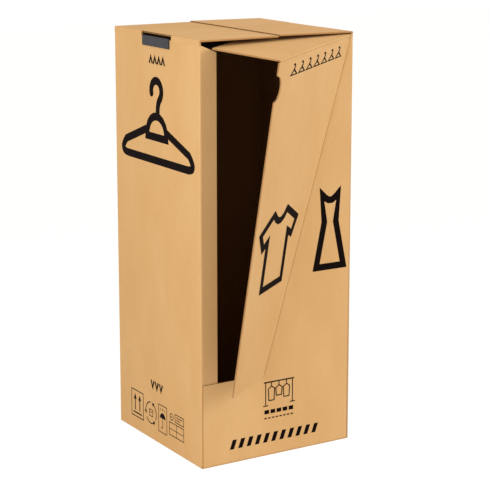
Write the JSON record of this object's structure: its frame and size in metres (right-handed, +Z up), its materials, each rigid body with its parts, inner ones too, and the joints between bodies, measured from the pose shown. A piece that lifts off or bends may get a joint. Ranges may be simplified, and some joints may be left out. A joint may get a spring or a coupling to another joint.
{
  "type": "wardrobe moving box",
  "caption": "Tall square corrugated carton with a hanging rail, top flaps and a corner door folded on a slanting score",
  "frame": {"origin": "middle of the underside, on the floor", "axes": "+Z up, the door looks along -Y, the printed side with the rail's slot looks along -X"},
  "size_m": [0.5166, 0.7804, 1.23],
  "materials": {
    "kraft_board": "matt kraft liner on corrugated board",
    "rail_plastic": "moulded, satin black",
    "black_ink": "flexo printed matt ink"
  },
  "bodies": {
    "carton": {"carton_body": "kraft_board", "hanging_bar": "rail_plastic", "hanger_print": "black_ink", "panel_print": "black_ink"},
    "left_flap": {"left_top_flap": "kraft_board"},
    "right_flap": {"right_top_flap": "kraft_board"},
    "door": {"front_door": "kraft_board", "door_print": "black_ink"},
    "door_flap": {"front_top_flap": "kraft_board"}
  },
  "joints": [
    {"name": "left_flap_hinge", "type": "hinge", "parent": "carton", "child": "left_flap", "pos_m": [-0.255, 0, 1.23], "axis": [0, -1, 0], "range_deg": [0, 240]},
    {"name": "right_flap_hinge", "type": "hinge", "parent": "carton", "child": "right_flap", "pos_m": [0.255, 0, 1.23], "axis": [0, 1, 0], "range_deg": [0, 240]},
    {"name": "door_hinge", "type": "hinge", "parent": "carton", "child": "door", "pos_m": [-0.046, -0.255, 0.2495], "axis": [0.2893, 0, 0.9572], "range_deg": [-34.6, 70]},
    {"name": "door_flap_hinge", "type": "hinge", "parent": "door", "child": "door_flap", "pos_m": [0.04019, -0.3898, 1.21005], "axis": [-0.8379, -0.5436, -0.049], "range_deg": [-8.4, 16.9]}
  ],
  "couplings": [
    {"joint": "door_flap_hinge", "follows": "door_hinge", "ratio": 0.24}
  ]
}
